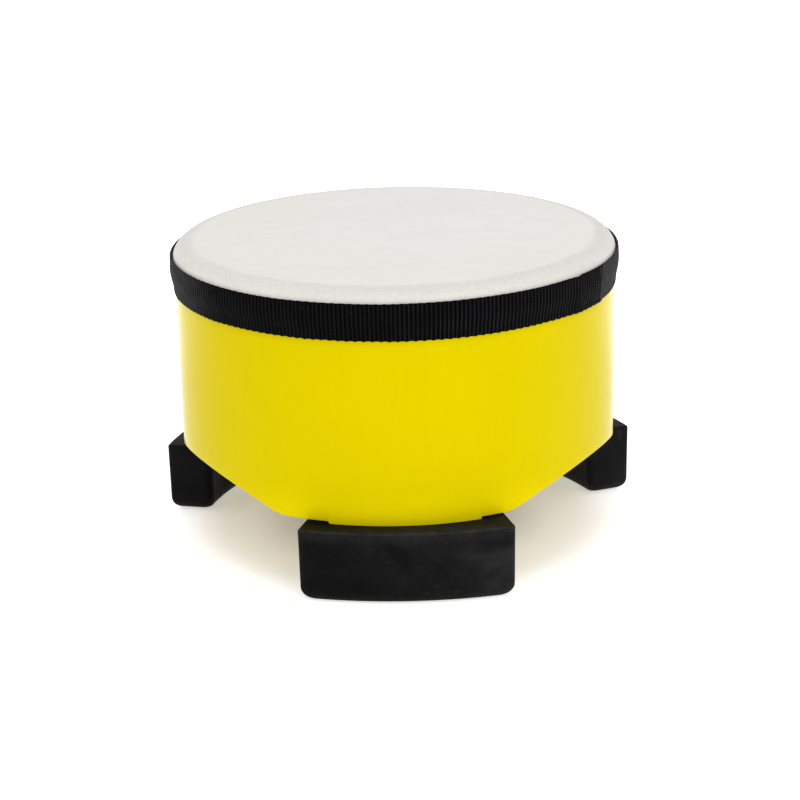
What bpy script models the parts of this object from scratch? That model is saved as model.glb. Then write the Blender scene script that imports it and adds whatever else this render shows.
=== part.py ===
"""Floor drum: a round wooden shell on three moulded rubber feet, with a tacked-down hide head and a webbing band round the rim.

Metres, +Z up. The drum's axis is vertical and stands a little behind the origin, so that the origin is the middle of the footprint's bounding box, on the floor. The front foot points along -Y.
"""

import math

import bmesh
import bpy
from mathutils import Matrix, Vector

# ---------------------------------------------------------------- driving dimensions
GAP = 0.0003  # clearance between pieces that touch
STEPS = 72  # facets round the drum
STEP = 360.0 / STEPS

SHELL_R = 0.1270  # outer radius of the wooden shell, a 254 mm drum
SHELL_WALL = 0.0060
TAB_BOTTOM = 0.0190  # the shell's tabs go down into the feet
TAB_HALF_DEG = 19.2
SHOULDER_Z = 0.0426  # level shoulders each side of a tab, just above the foot
# The first and last angle of each arch. The left arch starts nearer to the left foot than the right one does to the right foot.
ARCHES = {"right": (-62.0, 6.0), "back": (64.0, 119.5), "left": (169.5, 237.5)}
ARCH_RISE = 0.0908  # height of an arch = ARCH_RISE * (cos d - cos half)

HOOP_INNER_R = 0.1155  # reinforcing hoop glued inside the shell's top
HOOP_BOTTOM = 0.1407
HOOP_CHAMFER = 0.0010

HIDE = 0.0006  # thickness of the hide
HEAD_TOP = 0.1742  # flat playing surface
BEARING_R = 0.1171  # where the hide leaves the flat and starts down over the rim
RIM_ROUND = 0.0114  # radius of the rounded rim, to the hide's outer face
RIM_END_DEG = 71.0
SKIRT_BOTTOM = 0.1557

BAND_BOTTOM = 0.1465  # 21 mm webbing
BAND_TOP = 0.1674
BAND_THICK = 0.0009
BAND_END_DEG = -28.0  # where the outer end of the webbing stops
BAND_UNDER_DEG = -39.0  # where the inner end stops, below the outer one

STAPLES = 24
STAPLE_Z = 0.1612
STAPLE_CROWN = 0.0100
STAPLE_WIRE_W = 0.0012
STAPLE_WIRE_T = 0.0004
STAPLE_LEG_T = 0.0006
STAPLE_REACH = 0.1228  # radius that the points of the legs reach

# Each foot stands at an angle, with the middle of its outer face at a distance from the drum's axis, and its block is turned a little about that point.
FEET = {"foot_front": -89.8, "foot_right": 36.2, "foot_left": 147.5}
FOOT_REACH = {"foot_front": 0.1393, "foot_right": 0.1397, "foot_left": 0.1390}
FOOT_TURN = {"foot_front": -1.8, "foot_right": 0.0, "foot_left": 2.8}
FOOT_OUTER_R = 0.2100  # the blocks are curved less than the shell
FOOT_INNER_R = 0.1832
FOOT_HALF_OUTER = 0.0596  # half length at the outer face
FOOT_HALF_INNER = 0.0524
FOOT_HEIGHT = 0.0416
FOOT_SOLE_ROUND = 0.0080  # height of the rounding round the sole
FOOT_SOLE_SIDE = 0.0058  # its depth along the curved faces
FOOT_SOLE_END = 0.0088  # and at the two ends
FOOT_TOP_ROUND = 0.0010
FOOT_CORNER = 0.0022
FOOT_CORNER_IN = 0.0055
FOOT_DRAFT = 0.0004
SLOT_FLOOR = 0.0187
SLOT_HALF_DEG = 19.5

SCREW_DEG = 6.3  # each foot has a screw this far each side of its middle, about the centre of its own curve
SCREW_Z = 0.0307
SCREW_R = 0.0019
SCREW_HEAD_R = 0.0040
SCREW_HEAD_H = 0.0026
SCREW_TIP = 0.1950  # distance of the point from the centre of the foot's curve; it ends inside the tab
HOLE_R = 0.0022
HOLE_START = 0.1740
HOLE_END = 0.1955
WASHER_R = 0.0055
WASHER_HOLE_R = 0.0023
WASHER_T = 0.0010
WASHER_FACE = 0.1827  # distance of the washer's outer face from the same centre

# The webbing clears the staples' crowns, which lie on the hide's skirt.
BAND_OVER_R = SHELL_R + GAP + HIDE + GAP + STAPLE_WIRE_T + GAP
# The footprint reaches from the front foot to the webbing at the back.
AXIS_Y = (FOOT_REACH["foot_front"] - (BAND_OVER_R + BAND_THICK)) / 2


# ---------------------------------------------------------------- helpers
def material(name, colour, roughness, metallic=0.0, coat=0.0):
    made = bpy.data.materials.new(name)
    made.use_nodes = True
    shader = made.node_tree.nodes["Principled BSDF"]
    shader.inputs["Base Color"].default_value = (*colour, 1.0)
    shader.inputs["Roughness"].default_value = roughness
    shader.inputs["Metallic"].default_value = metallic
    shader.inputs["Coat Weight"].default_value = coat
    made.diffuse_color = (*colour, 1.0)
    return made


def place(name, mesh, mat, parent, turn=0.0, at=(0.0, 0.0)):
    """A named object at a point seen from above, by default the drum's axis, and turned by an angle in degrees."""
    obj = bpy.data.objects.new(name, mesh)
    bpy.context.scene.collection.objects.link(obj)
    if not mesh.materials:
        mesh.materials.append(mat)
    obj.parent = parent
    obj.location = (*at, 0.0)
    obj.rotation_euler = (0.0, 0.0, math.radians(turn))
    return obj


def finish_mesh(bm, name, sharp=math.radians(35)):
    bmesh.ops.remove_doubles(bm, verts=bm.verts, dist=1e-7)
    bmesh.ops.recalc_face_normals(bm, faces=bm.faces)
    mesh = bpy.data.meshes.new(name)
    bm.to_mesh(mesh)
    bm.free()
    mesh.shade_smooth()
    mesh.set_sharp_from_angle(angle=sharp)
    return mesh


def helper(obj):
    """Marks a cutter: it shapes other pieces and isn't one itself."""
    obj.hide_render = True
    obj.display_type = "WIRE"
    return obj


def cut(obj, cutter, name):
    modifier = obj.modifiers.new(name, "BOOLEAN")
    modifier.operation = "DIFFERENCE"
    modifier.solver = "EXACT"
    modifier.object = cutter


def polar(radius, degrees, z):
    a = math.radians(degrees)
    return Vector((radius * math.cos(a), radius * math.sin(a), z))


def facet_radius(radius, degrees):
    """The radius at an angle on the drum's polygon, whose corners lie at whole steps."""
    off = degrees - (math.floor(degrees / STEP) + 0.5) * STEP
    return radius * math.cos(math.radians(STEP / 2)) / math.cos(math.radians(off))


def apothem(radius):
    return radius * math.cos(math.radians(STEP / 2))


def turned(profile, steps, capped=False):
    """A profile of (radius, z) turned about Z. Closed round, or capped with flat discs at its two ends."""
    bm = bmesh.new()
    rings = []
    for r, z in profile:
        rings.append(
            [bm.verts.new(polar(r, 360.0 * k / steps, z)) for k in range(steps)]
        )
    pairs = list(zip(rings, rings[1:]))
    if not capped:
        pairs.append((rings[-1], rings[0]))
    for low, high in pairs:
        for k in range(steps):
            n = (k + 1) % steps
            bm.faces.new((low[k], low[n], high[n], high[k]))
    if capped:
        bm.faces.new(rings[0])
        bm.faces.new(rings[-1])
    return bm


def rim_arc(radius, angles):
    """Points of the rounded rim at a given radius of rounding, by their angle from straight up."""
    centre_z = HEAD_TOP - RIM_ROUND
    return [
        (
            BEARING_R + radius * math.sin(math.radians(a)),
            centre_z + radius * math.cos(math.radians(a)),
        )
        for a in angles
    ]


WOOD_ROUND = RIM_ROUND - HIDE - GAP


def wood_angle(radius):
    return math.degrees(math.asin((radius - BEARING_R) / WOOD_ROUND))


# ---------------------------------------------------------------- shell
def foot_offset(degrees):
    """The signed angle from the nearest foot."""
    offs = [(degrees - a + 180.0) % 360.0 - 180.0 for a in FEET.values()]
    return min(offs, key=abs)


def shell_bottom(degrees):
    """Height of the shoulder or arch at an angle, leaving the tabs out."""
    for start, end in ARCHES.values():
        off = (degrees - (start + end) / 2 + 180.0) % 360.0 - 180.0
        half = (end - start) / 2
        if abs(off) < half:
            return SHOULDER_Z + ARCH_RISE * (
                math.cos(math.radians(off)) - math.cos(math.radians(half))
            )
    return SHOULDER_Z


def shell_mesh():
    angles = {round(k * STEP, 6) for k in range(STEPS)}
    tab_ends = set()
    for ends in ARCHES.values():
        angles.update(round(a % 360.0, 6) for a in ends)
    for a in FEET.values():
        for side in (-1, 1):
            end = round((a + side * TAB_HALF_DEG) % 360.0, 6)
            angles.add(end)
            tab_ends.add(end)
    angles = sorted(angles)
    inner_r = SHELL_R - SHELL_WALL
    top = [(SHELL_R, None)] + rim_arc(
        WOOD_ROUND, [wood_angle(SHELL_R), 60.0, 48.0, 36.0, wood_angle(inner_r)]
    )
    bm = bmesh.new()
    posts = []
    for a in angles:
        edge = a in tab_ends
        in_tab = abs(foot_offset(a)) < TAB_HALF_DEG - 1e-6

        def corner(r, z):
            return bm.verts.new(polar(facet_radius(r, a), a, z))

        posts.append(
            {
                "edge": edge,
                "tab": in_tab,
                "outer": corner(
                    SHELL_R, TAB_BOTTOM if in_tab else shell_bottom(a)
                ),
                "inner": corner(
                    inner_r, TAB_BOTTOM if in_tab else shell_bottom(a)
                ),
                "outer_low": corner(SHELL_R, TAB_BOTTOM) if edge else None,
                "inner_low": corner(inner_r, TAB_BOTTOM) if edge else None,
                "top": [corner(r, z) for r, z in top[1:]],
            }
        )
    for n, left in enumerate(posts):
        right = posts[(n + 1) % len(posts)]
        middle = (angles[n] + (angles[(n + 1) % len(angles)] or 360.0)) / 2
        tab = abs(foot_offset(middle)) < TAB_HALF_DEG
        # outer wall, from the lower left corner round
        ring = []
        for side, key in ((left, "outer"), (right, "outer")):
            if tab and side["edge"]:
                pair = [side[key + "_low"], side[key]]
                ring += pair[::-1] if side is left else pair
            else:
                ring.append(side[key])
        outer = ring + [right["top"][0], left["top"][0]]
        bm.faces.new(outer)
        ring = []
        for side, key in ((left, "inner"), (right, "inner")):
            if tab and side["edge"]:
                pair = [side[key + "_low"], side[key]]
                ring += pair[::-1] if side is left else pair
            else:
                ring.append(side[key])
        bm.faces.new(ring + [right["top"][-1], left["top"][-1]])
        for k in range(len(left["top"]) - 1):
            bm.faces.new(
                (left["top"][k], right["top"][k], right["top"][k + 1], left["top"][k + 1])
            )
        low = []
        for side in (left, right):
            pick = "_low" if tab and side["edge"] else ""
            low.append((side["outer" + pick], side["inner" + pick]))
        bm.faces.new((low[0][0], low[1][0], low[1][1], low[0][1]))
        if left["edge"]:
            bm.faces.new(
                (left["outer_low"], left["outer"], left["inner"], left["inner_low"])
            )
    return finish_mesh(bm, "shell")


# ---------------------------------------------------------------- head, hoop and webbing
def hoop_mesh():
    outer = SHELL_R - SHELL_WALL - GAP
    top = HEAD_TOP - HIDE - GAP
    profile = [
        (HOOP_INNER_R, HOOP_BOTTOM),
        (outer, HOOP_BOTTOM),
        *rim_arc(WOOD_ROUND, [wood_angle(outer), 10.0, 0.0]),
        (HOOP_INNER_R + HOOP_CHAMFER, top),
        (HOOP_INNER_R, top - HOOP_CHAMFER),
    ]
    return finish_mesh(turned(profile, STEPS), "bearing_hoop")


def head_mesh():
    angles = [0.0, 12.0, 24.0, 36.0, 48.0, 60.0, RIM_END_DEG]
    outer_r = SHELL_R + GAP + HIDE
    profile = rim_arc(RIM_ROUND, angles)
    profile += [(outer_r, SKIRT_BOTTOM), (SHELL_R + GAP, SKIRT_BOTTOM)]
    profile += rim_arc(RIM_ROUND - HIDE, angles[::-1])
    return finish_mesh(turned(profile, STEPS, capped=True), "drumhead")


def band_section():
    """The webbing's cross-section, as (radius, z): it lies on the shell below and over the staples above."""
    inner = [
        (SHELL_R + GAP, BAND_BOTTOM),
        (BAND_OVER_R, STAPLE_Z - STAPLE_WIRE_W / 2),
        (BAND_OVER_R - 0.0002, BAND_TOP),
    ]
    return inner + [(r + BAND_THICK, z) for r, z in inner[::-1]]


def band_mesh():
    """The strip runs clockwise from its outer end, once round and on below itself."""
    section = band_section()
    lift = BAND_THICK + GAP
    path = [(BAND_END_DEG, lift)]
    a = math.floor(BAND_END_DEG / STEP) * STEP
    while a > BAND_UNDER_DEG:
        path.append((a, lift))
        a -= STEP
    path.append((BAND_UNDER_DEG, lift))
    while a > BAND_UNDER_DEG - 360.0:
        path.append((a, 0.0))
        a -= STEP
    path.append((BAND_UNDER_DEG - 360.0, 0.0))
    bm = bmesh.new()
    rings = [
        [
            bm.verts.new(polar(facet_radius(r + up, a + 1e-9), a, z))
            for r, z in section
        ]
        for a, up in path
    ]
    n = len(section)
    for one, two in zip(rings, rings[1:]):
        for k in range(n):
            bm.faces.new((one[k], one[(k + 1) % n], two[(k + 1) % n], two[k]))
    bm.faces.new(rings[0])
    bm.faces.new(rings[-1])
    return finish_mesh(bm, "webbing_band")


# ---------------------------------------------------------------- staples
def staple_mesh():
    """One staple in front of a facet: X along the facet, Y out of the drum, Z up."""
    face = apothem(SHELL_R + GAP + HIDE) + GAP
    w, t, leg = STAPLE_CROWN / 2, STAPLE_WIRE_T, STAPLE_LEG_T
    outline = [
        (-w, face + t),
        (-w, STAPLE_REACH + 0.0004),
        (-w + leg, STAPLE_REACH),
        (-w + leg, face),
        (w - leg, face),
        (w - leg, STAPLE_REACH),
        (w, STAPLE_REACH + 0.0004),
        (w, face + t),
    ]
    bm = bmesh.new()
    flat = bm.faces.new(
        [bm.verts.new((x, y, STAPLE_Z - STAPLE_WIRE_W / 2)) for x, y in outline]
    )
    grown = bmesh.ops.extrude_face_region(bm, geom=[flat])
    up = [v for v in grown["geom"] if isinstance(v, bmesh.types.BMVert)]
    bmesh.ops.translate(bm, verts=up, vec=(0.0, 0.0, STAPLE_WIRE_W))
    return finish_mesh(bm, "staple")


def staple_turns():
    return [STEP / 2 + 360.0 * k / STAPLES for k in range(STAPLES)]


def leg_cutter_mesh():
    """The holes that the staples' legs stand in, through the hide and into the shell."""
    bm = bmesh.new()
    side = STAPLE_CROWN / 2 - STAPLE_LEG_T / 2
    size = Vector(
        (
            STAPLE_LEG_T + 2 * GAP,
            0.1295 - (STAPLE_REACH - GAP),
            STAPLE_WIRE_W + 2 * GAP,
        )
    )
    middle = (0.1295 + STAPLE_REACH - GAP) / 2
    for turn in staple_turns():
        for sign in (-1, 1):
            made = bmesh.ops.create_cube(bm, size=1.0)["verts"]
            bmesh.ops.scale(bm, verts=made, vec=size)
            bmesh.ops.translate(bm, verts=made, vec=(sign * side, middle, STAPLE_Z))
            bmesh.ops.rotate(
                bm,
                verts=made,
                cent=(0, 0, 0),
                matrix=Matrix.Rotation(math.radians(turn - 90.0), 3, "Z"),
            )
    return finish_mesh(bm, "leg_cutter")


# ---------------------------------------------------------------- feet
def rounded(points, at, reach, steps=3):
    """Replaces the corner at an index by a smooth curve that starts and ends a given distance from it."""
    n = len(points)
    before, here, after = (Vector(points[(at + k) % n]) for k in (-1, 0, 1))
    one = here + (before - here).normalized() * reach
    two = here + (after - here).normalized() * reach
    curve = []
    for k in range(steps + 1):
        s = k / steps
        curve.append(tuple((1 - s) ** 2 * one + 2 * s * (1 - s) * here + s**2 * two))
    return curve


def foot_frame(name):
    """Where the centre of a foot's curve lies, from the drum's axis, and the turn that points the block's +Y out of the drum."""
    turned_by = FEET[name] - 90.0 + FOOT_TURN[name]
    middle = polar(FOOT_REACH[name], FEET[name], 0.0)
    centre = middle - polar(FOOT_OUTER_R, turned_by + 90.0, 0.0)
    return (centre.x, centre.y), turned_by


def line_on_circle(point, direction, radius):
    """Where a line meets a circle about the origin, on the side that faces along +Y."""
    b = point.dot(direction)
    c = point.dot(point) - radius * radius
    root = math.sqrt(b * b - c)
    return point + direction * (-b + root)


def foot_outline(inset, end_inset):
    """The foot seen from above, X along it and Y out of the drum, its curves' centre at the origin, drawn in by one distance along its curved faces and by another at its ends."""
    outer, inner = FOOT_OUTER_R - inset, FOOT_INNER_R + inset
    a = Vector((FOOT_HALF_INNER, math.sqrt(FOOT_INNER_R**2 - FOOT_HALF_INNER**2)))
    b = Vector((FOOT_HALF_OUTER, math.sqrt(FOOT_OUTER_R**2 - FOOT_HALF_OUTER**2)))
    along = (b - a).normalized()
    out = Vector((along.y, -along.x))
    start = a - out * end_inset
    top = line_on_circle(start, along, outer)
    low = line_on_circle(start, along, inner)
    top_deg = math.degrees(math.atan2(top.x, top.y))
    low_deg = math.degrees(math.atan2(low.x, low.y))
    points, corners = [], []
    steps = 10
    for k in range(steps + 1):  # outer arc, from the right end to the left
        p = polar(outer, 90.0 - top_deg + 2 * top_deg * k / steps, 0.0)
        if k in (0, steps):
            corners.append(len(points))
        points.append((p.x, p.y))
    for k in range(steps + 1):  # inner arc, back from the left end to the right
        p = polar(inner, 90.0 + low_deg - 2 * low_deg * k / steps, 0.0)
        if k in (0, steps):
            corners.append(len(points))
        points.append((p.x, p.y))
    shape = []
    for k, p in enumerate(points):
        if k in corners:
            shape += rounded(points, k, FOOT_CORNER if k in corners[:2] else FOOT_CORNER_IN)
        else:
            shape.append(p)
    return shape


def foot_body_mesh():
    rings = []
    for k in range(5):
        t = math.radians(22.5 * k)
        share = 1 - math.sin(t)
        rings.append(
            (FOOT_SOLE_SIDE * share, FOOT_SOLE_END * share, FOOT_SOLE_ROUND * (1 - math.cos(t)))
        )
    r = FOOT_TOP_ROUND
    rings += [
        (0.0, 0.0, FOOT_HEIGHT - r),
        (0.3 * r, 0.3 * r, FOOT_HEIGHT - 0.3 * r),
        (r, r, FOOT_HEIGHT),
    ]
    bm = bmesh.new()
    loops = []
    for inset, end_inset, z in rings:
        draft = FOOT_DRAFT * (1 - z / FOOT_HEIGHT)
        outline = foot_outline(inset + draft, end_inset + draft)
        loops.append([bm.verts.new((x, y, z)) for x, y in outline])
    n = len(loops[0])
    for low, high in zip(loops, loops[1:]):
        for k in range(n):
            bm.faces.new((low[k], low[(k + 1) % n], high[(k + 1) % n], high[k]))
    bm.faces.new(loops[0])
    bm.faces.new(loops[-1])
    return finish_mesh(bm, "foot_body")


def slot_cutter_mesh():
    """The slot for the shell's tab: a piece of a ring, standing up through the foot's top."""
    inner, outer = SHELL_R - SHELL_WALL - GAP, SHELL_R + GAP
    steps = 9
    bm = bmesh.new()
    rings = []
    for k in range(steps + 1):
        a = 90.0 - SLOT_HALF_DEG + 2 * SLOT_HALF_DEG * k / steps
        rings.append(
            [
                bm.verts.new(polar(r, a, z))
                for r, z in (
                    (inner, SLOT_FLOOR),
                    (outer, SLOT_FLOOR),
                    (outer, FOOT_HEIGHT + 0.01),
                    (inner, FOOT_HEIGHT + 0.01),
                )
            ]
        )
    for one, two in zip(rings, rings[1:]):
        for k in range(4):
            bm.faces.new((one[k], one[(k + 1) % 4], two[(k + 1) % 4], two[k]))
    bm.faces.new(rings[0])
    bm.faces.new(rings[-1])
    return finish_mesh(bm, "slot_cutter")


def rod(profile, steps, turn):
    """A turned piece laid along a line from the origin: profile of (distance from it, radius), at an angle from +Y."""
    bm = bmesh.new()
    rings = []
    for y, r in profile:
        rings.append(
            [
                bm.verts.new(
                    (
                        r * math.cos(2 * math.pi * k / steps),
                        y,
                        SCREW_Z + r * math.sin(2 * math.pi * k / steps),
                    )
                )
                for k in range(steps)
            ]
        )
    for one, two in zip(rings, rings[1:]):
        for k in range(steps):
            n = (k + 1) % steps
            bm.faces.new((one[k], one[n], two[n], two[k]))
    bm.faces.new(rings[0])
    bm.faces.new(rings[-1])
    bmesh.ops.rotate(
        bm, verts=bm.verts, cent=(0, 0, 0), matrix=Matrix.Rotation(math.radians(turn), 3, "Z")
    )
    return bm


def merged(parts, name):
    whole = bmesh.new()
    for part in parts:
        mesh = bpy.data.meshes.new("part")
        part.to_mesh(mesh)
        part.free()
        whole.from_mesh(mesh)
        bpy.data.meshes.remove(mesh)
    return finish_mesh(whole, name)


def hole_cutter_mesh(turns):
    """Screw holes square to the foot's inner face, at angles from +Y: through its inner wall and into the tab."""
    return merged(
        [rod([(HOLE_START, HOLE_R), (HOLE_END, HOLE_R)], 12, t) for t in turns], "hole_cutter"
    )


def screw_mesh():
    """A pan-head screw pointing along +Y."""
    seat = WASHER_FACE - WASHER_T - GAP
    tip = SCREW_TIP
    h, r = SCREW_HEAD_H, SCREW_HEAD_R
    profile = [
        (seat - h, 0.35 * r),
        (seat - 0.94 * h, 0.62 * r),
        (seat - 0.70 * h, 0.88 * r),
        (seat - 0.35 * h, r),
        (seat, r),
        (seat, SCREW_R),
        (tip - 0.0025, SCREW_R),
        (tip, 0.0004),
    ]
    return finish_mesh(rod(profile, 12, 0.0), "screw_body")


def recess_cutter_mesh():
    """The cross recess in a screw's head."""
    seat = WASHER_FACE - WASHER_T - GAP
    deep = 0.0016
    bars = []
    for wide, high in ((0.0040, 0.0009), (0.0009, 0.0041)):
        bm = bmesh.new()
        made = bmesh.ops.create_cube(bm, size=1.0)["verts"]
        bmesh.ops.scale(bm, verts=made, vec=(wide, 2 * deep, high))
        bmesh.ops.translate(
            bm, verts=made, vec=(0.0, seat - SCREW_HEAD_H, SCREW_Z)
        )
        bars.append(finish_mesh(bm, "recess_bar"))
    return bars


def washer_mesh():
    steps = 16
    bm = bmesh.new()
    y0, y1 = WASHER_FACE - WASHER_T, WASHER_FACE
    section = [(y0, WASHER_HOLE_R), (y0, WASHER_R), (y1, WASHER_R), (y1, WASHER_HOLE_R)]
    rings = []
    for k in range(steps):
        a = 2 * math.pi * (k + 0.5) / steps
        rings.append(
            [bm.verts.new((r * math.cos(a), y, SCREW_Z + r * math.sin(a))) for y, r in section]
        )
    for k in range(steps):
        one, two = rings[k], rings[(k + 1) % steps]
        for j in range(4):
            bm.faces.new((one[j], one[(j + 1) % 4], two[(j + 1) % 4], two[j]))
    return finish_mesh(bm, "washer")


def cut_once(name, mesh, cutters, axis):
    """Cuts a mesh and returns the result, so that copies can share it."""
    source = helper(place(name + "_blank", mesh, None, axis))
    for n, cutter in enumerate(cutters):
        cut(source, cutter, f"cut_{n}")
    bpy.context.view_layer.update()
    graph = bpy.context.evaluated_depsgraph_get()
    made = bpy.data.meshes.new_from_object(source.evaluated_get(graph))
    made.name = name
    made.materials.clear()
    made.shade_smooth()
    made.set_sharp_from_angle(angle=math.radians(35))
    bpy.data.objects.remove(source)
    return made


# ---------------------------------------------------------------- assembly
def main():
    for obj in list(bpy.data.objects):
        bpy.data.objects.remove(obj, do_unlink=True)

    yellow = material("shell_yellow", (0.86, 0.70, 0.0), 0.22, coat=0.6)
    hide = material("hide_natural", (0.83, 0.80, 0.74), 0.62)
    cloth = material("webbing_black", (0.012, 0.011, 0.012), 0.75)
    rubber = material("rubber_black", (0.018, 0.018, 0.019), 0.80)
    wood = material("hoop_wood", (0.62, 0.45, 0.27), 0.60)
    steel = material("steel", (0.62, 0.62, 0.63), 0.35, metallic=1.0)

    axis = bpy.data.objects.new("drum_axis", None)
    axis.location = (0.0, AXIS_Y, 0.0)
    bpy.context.scene.collection.objects.link(axis)

    legs = helper(place("leg_cutter", leg_cutter_mesh(), None, axis))
    slot_mesh, hole_mesh = slot_cutter_mesh(), hole_cutter_mesh([-SCREW_DEG, SCREW_DEG])
    slots, holes = {}, {}
    for name, angle in FEET.items():
        at, turn = foot_frame(name)
        slots[name] = helper(place(f"slot_{name}", slot_mesh, None, axis, angle - 90.0))
        holes[name] = helper(place(f"holes_{name}", hole_mesh, None, axis, turn, at))

    shell = place("shell", shell_mesh(), yellow, axis)
    cut(shell, legs, "staple_legs")
    for name in FEET:
        cut(shell, holes[name], f"holes_{name}")
    place("bearing_hoop", hoop_mesh(), wood, axis)
    head = place("drumhead", head_mesh(), hide, axis)
    cut(head, legs, "staple_legs")
    place("webbing_band", band_mesh(), cloth, axis)

    staple = staple_mesh()
    for n, turn in enumerate(staple_turns()):
        place(f"staple_{n + 1:02d}", staple, steel, axis, turn - 90.0)

    block = foot_body_mesh()
    for name in FEET:
        at, turn = foot_frame(name)
        foot = place(name, block, rubber, axis, turn, at)
        cut(foot, slots[name], "slot")
        cut(foot, holes[name], "screw_holes")

    bars = [
        helper(place(f"recess_cutter_{n}", mesh, None, axis))
        for n, mesh in enumerate(recess_cutter_mesh())
    ]
    screw = cut_once("screw", screw_mesh(), bars, axis)
    washer = washer_mesh()
    for name in FEET:
        at, middle = foot_frame(name)
        for side, label in ((-1, "a"), (1, "b")):
            turn = middle + side * SCREW_DEG
            which = name.split("_")[1]
            place(f"screw_{which}_{label}", screw, steel, axis, turn, at)
            place(f"washer_{which}_{label}", washer, steel, axis, turn, at)


main()
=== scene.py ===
"""Floor drum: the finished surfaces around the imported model, a pale floor, soft light and the camera.

Metres, +Z up. The drum's axis is vertical at (0, AXIS_Y). The front foot points along -Y.
"""

import math

import bmesh
import bpy
import numpy as np
from mathutils import Matrix, Vector


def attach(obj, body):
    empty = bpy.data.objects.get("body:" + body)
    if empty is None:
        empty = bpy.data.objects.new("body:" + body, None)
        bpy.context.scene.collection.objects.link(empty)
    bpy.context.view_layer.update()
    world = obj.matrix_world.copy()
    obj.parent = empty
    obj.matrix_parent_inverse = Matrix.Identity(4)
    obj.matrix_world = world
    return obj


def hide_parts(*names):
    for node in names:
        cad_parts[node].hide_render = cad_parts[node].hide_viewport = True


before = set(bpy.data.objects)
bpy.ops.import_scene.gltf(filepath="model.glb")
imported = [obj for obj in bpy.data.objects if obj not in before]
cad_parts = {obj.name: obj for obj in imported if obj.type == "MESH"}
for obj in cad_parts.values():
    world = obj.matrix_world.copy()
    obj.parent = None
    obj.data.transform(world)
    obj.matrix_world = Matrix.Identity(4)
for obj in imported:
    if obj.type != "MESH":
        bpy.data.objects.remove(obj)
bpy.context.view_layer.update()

# ---------------------------------------------------------------- dimensions shared with the model
GAP = 0.0003
AXIS_Y = 0.00475
SHELL_R = 0.1270
SHELL_WALL = 0.0060
TAB_BOTTOM = 0.0190
TAB_HALF = 19.2
SHOULDER_Z = 0.0426
ARCHES = {"right": (-62.0, 6.0), "back": (64.0, 119.5), "left": (169.5, 237.5)}
ARCH_RISE = 0.0908
HOOP_INNER_R = 0.1155
HOOP_BOTTOM = 0.1407
HIDE = 0.0006
HEAD_TOP = 0.1742
BEARING_R = 0.1171
RIM_ROUND = 0.0114
RIM_END = 71.0
SKIRT_BOTTOM = 0.1557
BAND_BOTTOM = 0.1465
BAND_TOP = 0.1674
BAND_THICK = 0.0009
BAND_OVER_R = SHELL_R + GAP + HIDE + GAP + 0.0004 + GAP
BAND_END = -28.0
BAND_UNDER = -39.0
FEET = {"foot_front": -89.8, "foot_right": 36.2, "foot_left": 147.5}
FOOT_REACH = {"foot_front": 0.1393, "foot_right": 0.1397, "foot_left": 0.1390}
FOOT_TURN = {"foot_front": -1.8, "foot_right": 0.0, "foot_left": 2.8}
FOOT_OUTER_R = 0.2100
FOOT_INNER_R = 0.1832
FOOT_HALF_OUTER = 0.0596
FOOT_HALF_INNER = 0.0524
FOOT_HEIGHT = 0.0416
SOLE_ROUND = 0.0080
SOLE_SIDE = 0.0058
SOLE_END = 0.0088
TOP_ROUND = 0.0010
CORNER = 0.0022
CORNER_IN = 0.0055
DRAFT = 0.0004
SLOT_FLOOR = 0.0187
SLOT_HALF = 19.5
SCREW_DEG = 6.3
SCREW_Z = 0.0307
HOLE_R = 0.0022
WOOD_ROUND = RIM_ROUND - HIDE - GAP

rng = np.random.default_rng(20)


# ---------------------------------------------------------------- mesh helpers
def new_object(name, mesh, replaced=()):
    obj = bpy.data.objects.new(name, mesh)
    bpy.context.scene.collection.objects.link(obj)
    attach(obj, "root")
    if replaced:
        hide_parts(*replaced)
    return obj


def mesh_from(name, points, faces, uvs=None, slots=None, sharp=None):
    """A mesh from points, faces and, if given, one UV per point and one material slot per face."""
    mesh = bpy.data.meshes.new(name)
    mesh.from_pydata([tuple(p) for p in points], [], [tuple(f) for f in faces])
    if uvs is not None:
        layer = mesh.uv_layers.new(name="unrolled")
        corners = np.zeros(len(mesh.loops), np.int32)
        mesh.loops.foreach_get("vertex_index", corners)
        layer.data.foreach_set("uv", np.asarray(uvs, np.float32)[corners].ravel())
    if slots is not None:
        mesh.polygons.foreach_set("material_index", np.asarray(slots, np.int32))
    mesh.update()
    mesh.shade_smooth()
    if sharp is not None:
        mesh.set_sharp_from_angle(angle=math.radians(sharp))
    return mesh


def grid_faces(nu, nv, wrap_u=False, wrap_v=False, start=0):
    """Quads of a grid whose point (i, j) has index start + i * nv + j."""
    i = np.arange(nu if wrap_u else nu - 1)
    j = np.arange(nv if wrap_v else nv - 1)
    a, b = np.meshgrid(i, j, indexing="ij")
    a2, b2 = (a + 1) % nu, (b + 1) % nv
    q = np.stack([a * nv + b, a2 * nv + b, a2 * nv + b2, a * nv + b2], -1)
    return (q.reshape(-1, 4) + start).tolist()


def polar(r, az, z):
    """Points from radius, azimuth in radians and height, about the drum's axis."""
    r, az, z = np.broadcast_arrays(r, az, z)
    return np.stack([r * np.cos(az), AXIS_Y + r * np.sin(az), z], -1)


def smooth_noise(x, y, seed, wrap=None):
    """Value noise at unit cells, smooth, from a seeded table; wrap is the period in x."""
    table = np.random.default_rng(seed).uniform(-1, 1, (512, 512))
    xi, yi = np.floor(x).astype(int), np.floor(y).astype(int)
    fx, fy = x - xi, y - yi
    fx, fy = fx * fx * (3 - 2 * fx), fy * fy * (3 - 2 * fy)

    def at(a, b):
        if wrap:
            a = a % wrap
        return table[a % 512, b % 512]

    low = at(xi, yi) * (1 - fx) + at(xi + 1, yi) * fx
    high = at(xi, yi + 1) * (1 - fx) + at(xi + 1, yi + 1) * fx
    return low * (1 - fy) + high * fy


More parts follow.
